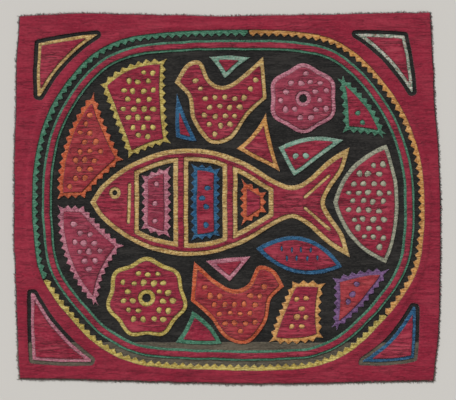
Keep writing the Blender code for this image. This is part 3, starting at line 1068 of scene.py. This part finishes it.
    def bulge_frames(self) -> list[tuple[Points, Points]]:
        """Measures the places that swell up through the holes of the cloth over it.

        Returns:
            Each one's centre and half size.
        """
        frames = []
        for hem in self.bulges:
            size = np.ptp(hem.points, axis=0) / 2 - self.bulge_margin
            frames.append((hem.points.mean(0), np.maximum(size, self.least_bulge)))
        return frames

    def bulge_at(self, points: Points) -> Points:
        """Shapes the places that swell up through the holes of the cloth over it.

        Args:
            points: The points asked about.

        Returns:
            How far the cloth rises at each point.
        """
        lift = np.zeros(len(points))
        for centre, size in self.bulge_frames():
            near = np.sum(((points - centre) / size) ** 2, 1)
            lift = np.maximum(lift, self.bulge_height * np.clip(1 - near, 0, 1) ** self.bulge_roundness)
        return lift

    def bulge_points(self) -> Points:
        """Sets rings of points that give each swelling its round shape.

        Returns:
            The points.
        """
        points = [np.zeros((0, 2))]
        for centre, size in self.bulge_frames():
            for share, count in self.bulge_rings:
                angles = np.arange(count) / count * 2 * math.pi + share
                points.append(centre + np.stack([np.cos(angles), np.sin(angles)], 1) * size * share)
        return np.concatenate(points)

    def pressed_at(self, points: Points) -> Points:
        """Tells how hard the stitches of the cloth over it draw this one down.

        Args:
            points: The points asked about.

        Returns:
            One share from 0 to 1 a point.
        """
        if not self.seams:
            return np.zeros(len(points))
        tree = tree_of(np.concatenate([hem.points[hem.pulls > 0] for hem in self.seams]))
        apart = np.array([tree.find((x, y, 0.0))[2] for x, y in points.tolist()])
        return np.exp(-((apart / self.seam_reach) ** 2))

    def seam_points(self) -> Points:
        """Sets a row of points just outside each seam of the cloth over it.

        Returns:
            The points.
        """
        rows = [hem.points - inward(hem.points) * self.seam_offset for hem in self.seams]
        points = np.concatenate([np.zeros((0, 2)), *rows])
        points = points[inside(points, self.loops)]
        return points[self.finder.distances(points) > self.rings[-1] + self.seam_offset]

    def upper_side(self) -> tuple[Points, Points, Points, Points]:
        """Shapes the side that shows: swollen between its hems, puckered and drawn down by stitches.

        Returns:
            The points, the triangles, and at each point the painted hem shade and the crease height that
            sets painted highlight and shade.
        """
        ring, ring_pulls = self.ring_points()
        spacing = self.spacing * 1.0
        middle = self.field_points(spacing, self.rings[-1] + self.clearance_share * spacing)
        middle = middle[(self.bulge_at(middle) == 0) & (self.pressed_at(middle) < self.most_pressed)]
        extra = [ring, middle, self.bulge_points(), self.seam_points()]
        flat, triangles = self.triangulated(np.concatenate(extra))
        given = np.concatenate([hem.pulls for hem in self.edges] + [ring_pulls])
        pulls = np.concatenate([given, np.zeros(len(flat) - len(given))])
        far = self.finder.distances(flat)
        far[: sum(len(loop) for loop in self.loops)] = 0
        puckers = RELIEF.puckers(flat) * (1 - np.exp(-far / self.calm_reach))
        bulge, pressed = self.bulge_at(flat), self.pressed_at(flat)
        heights = self.level_at(flat) - CLOTH / 2 + RELIEF.swells(flat) + PROFILE.crown(far, pulls)
        heights += self.pillow * (1 - np.exp(-far / self.pillow_reach))
        heights += self.pucker * puckers + bulge - self.seam_depth * pressed
        # Painted shade along the hems and beside the seams of the cloth over it; the crest value paints
        # highlight on crests and swellings and shade in valleys.
        shade = np.maximum(PROFILE.shade(far, pulls), self.seam_shade * pressed)
        crest = np.maximum(self.drawn * puckers, self.painted_bulge_highlight * bulge / self.bulge_height)
        return np.column_stack([flat, heights]), triangles, shade, crest

    def shell(self) -> tuple[Points, Faces, Points, Points]:
        """Builds the closed sheet, its under side flat on the table for the ground cloths.

        Returns:
            The points, the triangles, and at each point the painted hem shade and the crease height that
            sets painted highlight and shade.
        """
        upper, triangles, shade, crest = self.upper_side()
        clearance = self.under_clearance * self.under_spacing
        flat, under = self.triangulated(self.field_points(self.under_spacing, clearance))
        heights = np.zeros(len(flat))
        if self.layer is not Layer.GROUND:
            heights = self.level_at(flat) - CLOTH + RELIEF.swells(flat)
        shared = sum(len(loop) for loop in self.loops)
        hidden = np.column_stack([flat, heights])[shared:]
        under = np.where(under < shared, under, under - shared + len(upper))
        faces = [tuple(t) for t in triangles.tolist()] + [tuple(t[::-1]) for t in under.tolist()]
        spare = np.zeros(len(hidden))
        points = np.concatenate([upper, hidden])
        return points, faces, np.concatenate([shade, spare]), np.concatenate([crest, spare])

    def build(self) -> list[bpy.types.Object]:
        """Builds the sheet and its stitches.

        Returns:
            The sheet, then its stitches if anything is sewn.
        """
        points, faces, shade, crest = self.shell()
        finish = COTTONS[self.woven or self.cloth]
        piece = new_object(self.piece_name, points, faces, finish)
        # The hem attribute carries painted shade; the crest attribute carries painted highlight and
        # shade.
        for name, values in (("hem", shade), ("crest", crest)):
            attribute = piece.data.attributes.new(name, "FLOAT", "POINT")
            attribute.data.foreach_set("value", values.astype(np.float32))
        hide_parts(self.node)
        parts = self.stitches()
        return [piece, *parts]

    def stitches(self) -> list[bpy.types.Object]:
        """Builds the stitches that hold the hems down.

        Returns:
            The stitches, all in one piece, or nothing where nothing is sewn.
        """
        sewing = WhipStitching(self.seed)
        paths = np.concatenate([sewing.over(self, hem) for hem in self.edges])
        if not len(paths):
            return []
        points, faces = tubes(paths, np.array(sewing.radii), sewing.sides)
        thread = THREADS[self.cloth]
        return [new_object(f"stitches_{self.node}", points, faces, thread)]


@dataclass(frozen=True)
class WhipStitching:
    """Small slanted stitches over a turned hem."""

    seed: int
    sides: int = 3
    slant: float = 0.38
    slant_range: tuple[float, float] = (0.5, 1.4)
    # A stitch's four points, up from the cloth below, over the hem and down again: how far in
    # from the edge they lie, how far along it, how far over the cloth there, and how thick.
    steps: tuple[float, ...] = (-0.42, -0.04, 0.50, 1.05)
    turns: tuple[float, ...] = (-1.0, -0.4, 0.5, 1.0)
    lifts: tuple[float, ...] = (0.04, 0.14, 0.12, -0.06)
    radii: tuple[float, ...] = (0.208, 0.26, 0.26, 0.182)

    def over(self, sheet: ClothSheet, hem: Hem) -> Points:
        """Lays stitches over one hem.

        Args:
            sheet: The cloth that is sewn down.
            hem: The hem.

        Returns:
            The stitches' centre points, as stitch, point and coordinate.
        """
        held = np.flatnonzero(hem.pulls > 0)
        places = hem.points[held]
        into = inward(hem.points)[held]
        along = -left_of(into)
        random = np.random.default_rng(self.seed + len(held))
        slant = self.slant * random.uniform(*self.slant_range, len(held))
        top = hem.level + RELIEF.swells(places)
        middle = top - CLOTH / 2
        pulls = hem.pulls[held]
        crowns = [PROFILE.crown(np.full(len(held), step), pulls) for step in self.steps[2:]]
        puffed = sheet.pillow * (1 - np.exp(-self.steps[3] / sheet.pillow_reach))
        surface = (top - CLOTH - SEWN_GAP, middle, middle + crowns[0], middle + crowns[1] + puffed)
        heights = [height + lift for height, lift in zip(surface, self.lifts)]
        path = [
            np.column_stack([places + into * step + along * (slant * turn)[:, None], height])
            for step, turn, height in zip(self.steps, self.turns, heights)
        ]
        return np.stack(path, axis=1)


# The red cloths' small holes.


@dataclass(frozen=True)
class MarkSetting:
    """Sets rows of small holes in a red cloth, clear of its hems."""

    pitch: float = 10.8
    row: float = 9.7
    radius: float = 3.1
    spread: float = 1.0
    clearance: float = 2.4
    slit: tuple[float, float] = (1.15, 2.9)
    size_range: tuple[float, float] = (0.86, 1.1)
    height_range: tuple[float, float] = (0.85, 1.1)
    slit_range: tuple[float, float] = (0.9, 1.15)
    first_seed: int = 5
    seed_step: int = 101

    def on(self, sheet: ClothSheet, marks: Marks) -> list[Hem]:
        """Finds where the holes go.

        Args:
            sheet: The red cloth, with its hems drawn.
            marks: The kind of hole.

        Returns:
            One hem a hole.
        """
        if marks is Marks.NONE:
            return []
        loops = [hem.points for hem in sheet.hems]
        low, high = loops[0].min(0), loops[0].max(0)
        random = np.random.default_rng(sheet.seed + self.first_seed)
        offset = random.uniform(0, 1, 2)
        places = []
        for number, row in enumerate(np.arange(low[1] - self.row * offset[1], high[1], self.row)):
            start = low[0] - self.pitch * (offset[0] + 0.5 * (number % 2))
            places += [(across, row) for across in np.arange(start, high[0], self.pitch)]
        points = np.array(places) + random.uniform(-1, 1, (len(places), 2)) * self.spread
        points = points[inside(points, loops)]
        hems = []
        for index, (point, free) in enumerate(zip(points, EdgeFinder(loops).distances(points))):
            size = self.radius * random.uniform(*self.size_range)
            if free < size + self.clearance:
                continue
            sizes = (size, size * random.uniform(*self.height_range))
            if marks is Marks.SLITS:
                sizes = (self.slit[0] * random.uniform(*self.slit_range), self.slit[1])
            hems.append(HEMMING.round_mark(point, sizes, sheet.seed * self.seed_step + index))
        return hems


# Sub-assemblies.


@dataclass
class GroundCloths:
    """The black cloth and the olive strip sewn to its lower edge, which carry all the rest."""

    spacing: float = 2.3
    under_spacing: float = 4.5

    def build(self) -> list[bpy.types.Object]:
        """Builds both cloths.

        Returns:
            The pieces.
        """
        pieces = []
        for seed, cloth in ((3, "black"), (4, "olive")):
            sheet = ClothSheet(
                f"ground_{cloth}", cloth, Layer.GROUND, (), seed, self.spacing, pucker=0.18, pillow=0.0
            )
            sheet.under_spacing = self.under_spacing
            sheet.read_edges(sewn=())
            pieces += sheet.build()
        return pieces


@dataclass
class BorderCloths:
    """The red border with its windows, the toothed rims tucked under it, and the banded ring."""

    ground: tuple[str, ...] = ("sheet_ground_black", "sheet_ground_olive")
    narrow: dict[str, float] = field(default_factory=lambda: {"pucker": 0.08, "pillow": 0.12})

    def build(self) -> list[bpy.types.Object]:
        """Builds the border's cloths from the lowest up.

        Returns:
            The pieces.
        """
        pieces = []
        margin = ClothSheet("margin_red", "red", Layer.TOP, self.ground, 11, spacing=1.75, pucker=0.34)
        margin.drawn, margin.window, margin.woven = 0.7, 1, "border"
        # Its edges, largest first: the raw outline, the large window and the corners' windows.
        margin.read_edges(sewn=(1, 2, 3, 4, 5), rounded=(2, 3, 4, 5))
        covered = [hem.points for hem in margin.hems]
        rims = []
        for seed, cloth in enumerate(("amber", "green", "yellow"), 21):
            rim = ClothSheet(f"rim_{cloth}", cloth, Layer.COLOUR, self.ground, seed, **self.narrow)
            rim.read_edges()
            for hem in rim.hems:
                hem.pulls[inside(hem.points, covered)] = 0
            pieces += rim.build()
            rims.append(rim.piece_name)
        margin.rests_on = (*self.ground, *rims)
        pieces += margin.build()
        band = ClothSheet("band_green", "green", Layer.COLOUR, self.ground, 31, **self.narrow)
        band.read_edges()
        under = (band.piece_name,)
        stripe = ClothSheet("band_red", "red", Layer.TOP, under, 32, spacing=1.5, pucker=0.14)
        stripe.read_edges()
        band.seams = stripe.hems
        return pieces + band.build() + stripe.build()


@dataclass
class Motif:
    """A coloured cloth with a smaller red one on it, cut with dots or slits that show the colour."""

    name: str
    cloth: str
    marks: Marks
    seed: int

    def build(self) -> list[bpy.types.Object]:
        """Builds the coloured cloth and the red one.

        Returns:
            The pieces.
        """
        ground = ("sheet_ground_black",)
        lower = ClothSheet(
            f"{self.name}_colour", self.cloth, Layer.COLOUR, ground, self.seed, pucker=0.10, pillow=0.13
        )
        lower.woven = OWN_WEAVES.get(self.name, "")
        lower.read_edges()
        upper = ClothSheet(
            f"{self.name}_red", "red", Layer.TOP, (lower.piece_name,), self.seed + 1, spacing=1.55
        )
        upper.woven = OWN_REDS.get(self.name, "")
        upper.read_edges()
        upper.marks = MarkSetting().on(upper, self.marks)
        lower.bulges = upper.marks
        lower.seams = upper.hems
        return lower.build() + upper.build()


FIRST_MOTIF_SEED = 100
MOTIF_SEED_STEP = 10
# Each motif's name ends in the colour of its lower cloth, but for the fish and its scales.
MOTIFS = (
    ("fish", "scale_front", "scale_middle", "scale_rear")
    + ("wedge_orange", "wedge_purple", "wedge_green", "wedge_pink", "wedge_amber", "wedge_yellow")
    + ("boat_mint", "leaf_sage", "leaf_blue")
    + ("seed_mint", "seed_pink", "seed_amber", "seed_blue", "boat_green")
    + ("bloom_pink", "bloom_yellow", "bird_gold", "bird_orange")
    + ("corner_mint", "corner_gold", "corner_blue", "corner_pink")
)
FISH_CLOTHS = {"fish": "gold", "scale_front": "pink", "scale_middle": "blue", "scale_rear": "orange"}
OWN_MARKS = {
    **dict.fromkeys(("fish", "seed_mint", "seed_pink", "seed_amber", "seed_blue"), Marks.NONE),
    **dict.fromkeys(("boat_green", "corner_mint", "corner_gold", "corner_blue"), Marks.NONE),
    "corner_pink": Marks.NONE,
    "leaf_blue": Marks.SLITS,
}
# A few of the coloured cloths and of the red ones on them are cut from other prints and dyes.
OWN_WEAVES = {"corner_mint": "print"}
OWN_REDS = {
    **dict.fromkeys(("wedge_pink", "bloom_pink", "scale_front"), "rose"),
    **dict.fromkeys(("wedge_purple", "wedge_orange", "bird_orange"), "scarlet"),
}


@dataclass
class FrayedEdges:
    """Raw thread ends round the outer edges of the red border and the ground cloths."""

    lengths: tuple[float, float] = (0.7, 2.4)
    radius: float = 0.32
    taper: float = 0.55
    sides: int = 3
    steps: int = 4
    lean: float = 0.55
    curl: float = 0.5
    # Shares of an end's length: how far inside the edge it starts, and how long its path is.
    rooted: float = 0.12
    stretch: float = 1.1
    # The most that an end droops, as a share of its height.
    droop: float = 0.8

    def fringe(self, node: str, cloth: str, height: float, apart: float, seed: int) -> bpy.types.Object:
        """Sets the thread ends along one cloth's outer edge.

        Args:
            node: The cloth's solid.
            cloth: Its colour.
            height: How high the ends leave it.
            apart: The mean distance between ends.
            seed: Sets their lengths and slants.

        Returns:
            The thread ends, all in one piece.
        """
        outline = HEMMING.hem(cad_edges(node)[0][:, :2], height, seed, sewn=False).points
        random = np.random.default_rng(seed)
        chance = HEMMING.pitch / HEMMING.to_a_stitch / apart
        chosen = np.flatnonzero(random.uniform(0, 1, len(outline)) < chance)
        places = outline[chosen]
        out = -inward(outline)[chosen]
        along = left_of(out)
        count = len(places)
        length = self.lengths[0] + np.ptp(self.lengths) * random.uniform(0, 1, (count, 1)) ** 2
        lean = random.normal(0, self.lean, (count, 1))
        curl = random.normal(0, self.curl, (count, 1))
        drop = self.droop * random.uniform(0, 1, count)
        shares = np.linspace(0, 1, self.steps)
        path = []
        for share in shares:
            sideways = along * (lean * share + curl * share**2) * share
            moved = places + length * (out * (share * self.stretch - self.rooted) + sideways)
            fall = (height + RELIEF.swells(places)) * (1 - drop * share**1.5)
            path.append(np.column_stack([moved, np.maximum(fall, self.radius * 2)]))
        radii = self.radius * (1 - self.taper * shares)
        points, faces = tubes(np.stack(path, axis=1), radii, self.sides)
        return new_object(f"fringe_{node}", points, faces, THREADS[cloth])

    def build(self) -> list[bpy.types.Object]:
        """Builds every fringe.

        Returns:
            The pieces.
        """
        return [
            self.fringe("margin_red", "red", 1.8, 1.5, 71),
            self.fringe("ground_black", "black", 0.5, 0.98, 72),
            self.fringe("ground_olive", "olive", 0.5, 0.98, 73),
        ]


@dataclass
class Studio:
    """A plain pale table, soft light from the upper left, and a camera straight over the panel."""

    table_size: float = 6.0
    table_gap: float = 0.00005
    view_width: float = 0.4925
    lens: float = 100.0
    sensor: float = 36.0
    centre: tuple[float, float] = (0.0008, -0.0016)
    key: float = 2.55
    key_angle: float = 24.0
    key_tilt: tuple[float, float, float] = (-38.0, -30.0, 0.0)
    fill: float = 0.44

    def floor(self) -> None:
        """Lays the table under the panel."""
        half = self.table_size / 2
        mesh = bpy.data.meshes.new("table")
        corners = [(-half, -half, 0), (half, -half, 0), (half, half, 0), (-half, half, 0)]
        mesh.from_pydata(corners, [], [(0, 1, 2, 3)])
        mesh.materials.append(material_of(MattTable()))
        table = placed("table", mesh)
        table.location.z = -self.table_gap

    def light(self) -> None:
        """Sets one broad light and an even fill."""
        sun = bpy.data.lights.new("soft_light", "SUN")
        sun.energy = self.key
        sun.angle = math.radians(self.key_angle)
        placed("soft_light", sun).rotation_euler = [math.radians(turn) for turn in self.key_tilt]
        world = bpy.data.worlds.new("studio")
        world.use_nodes = True
        sky = world.node_tree.nodes["Background"]
        sky.inputs["Color"].default_value = (1.0, 0.995, 0.985, 1.0)
        sky.inputs["Strength"].default_value = self.fill
        bpy.context.scene.world = world

    def camera(self) -> None:
        """Sets the camera straight over the panel."""
        data = bpy.data.cameras.new("camera")
        data.lens = self.lens
        data.sensor_width = self.sensor
        camera = placed("camera", data)
        camera.location = (*self.centre, self.view_width * self.lens / self.sensor)
        bpy.context.scene.camera = camera

    def build(self) -> None:
        """Builds the studio."""
        self.floor()
        self.light()
        self.camera()
        bpy.context.scene.view_settings.view_transform = "Standard"


def main() -> None:
    """Builds the panel's pieces in order and reports each."""
    logging.basicConfig(level=logging.INFO, format="%(message)s")
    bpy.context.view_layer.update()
    Studio().build()
    motifs = []
    for number, name in enumerate(MOTIFS):
        cloth = FISH_CLOTHS.get(name) or name.split("_")[-1]
        seed = FIRST_MOTIF_SEED + MOTIF_SEED_STEP * number
        motifs.append(Motif(name, cloth, OWN_MARKS.get(name, Marks.DOTS), seed))
    for assembly in (FrayedEdges(), GroundCloths(), BorderCloths(), *motifs):
        for piece in assembly.build():
            mesh = piece.data
            LOG.info("%s: %d points, %d faces", piece.name, len(mesh.vertices), len(mesh.polygons))


if __name__ == "__main__":
    main()
